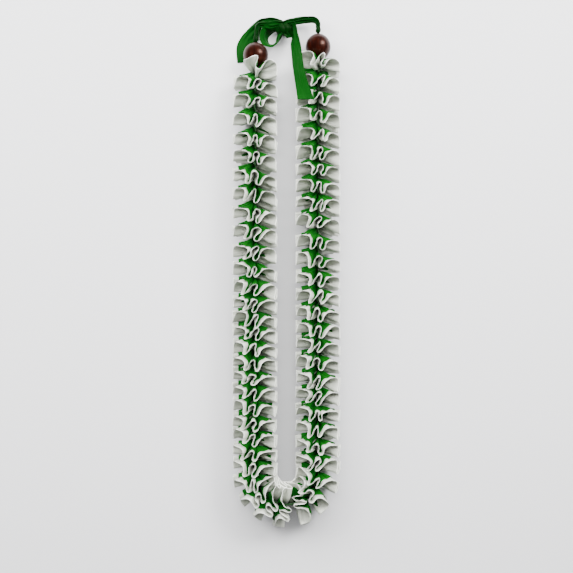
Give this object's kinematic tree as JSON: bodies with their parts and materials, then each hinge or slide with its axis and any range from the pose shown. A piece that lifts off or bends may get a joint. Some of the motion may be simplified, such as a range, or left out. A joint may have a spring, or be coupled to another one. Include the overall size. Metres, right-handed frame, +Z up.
{
  "type": "ribbon lei",
  "caption": "Garland of two satin ribbons gathered into a ruffled spiral on a cord, lying folded in two, with a round wooden bead on each end and a ribbon bow that joins them.",
  "frame": {"origin": "the middle of the lei's footprint, on the surface that it lies on", "axes": "+Z up from the surface; +Y along the folded lei, from the foot of its U towards the beads and the bow; +X towards the arm whose bead is further along +Y"},
  "size_m": [0.1072, 0.5098, 0.0441],
  "materials": {
    "white_satin": "satin ribbon with a soft sheen",
    "green_satin": "satin ribbon with a soft sheen",
    "polished_nut": "dark polished nut or wood, glossy",
    "core_thread": "plain cord"
  },
  "bodies": {
    "root": {"ruffle_white_left_arm": "white_satin", "ruffle_white_left_bend": "white_satin", "ruffle_white_right_arm": "white_satin", "ruffle_white_right_bend": "white_satin", "ruffle_green_left_arm": "green_satin", "ruffle_green_left_bend": "green_satin", "ruffle_green_right_arm": "green_satin", "ruffle_green_right_bend": "green_satin", "core_cord": "core_thread", "bead_left": "polished_nut", "bead_right": "polished_nut", "bead_knot_left": "green_satin", "bead_knot_right": "green_satin", "bow_knot": "green_satin", "bow_loop": "green_satin", "tie_left": "green_satin", "tie_right": "green_satin", "tail_wide": "green_satin", "tail_short": "green_satin", "tail_long": "green_satin"}
  },
  "joints": []
}
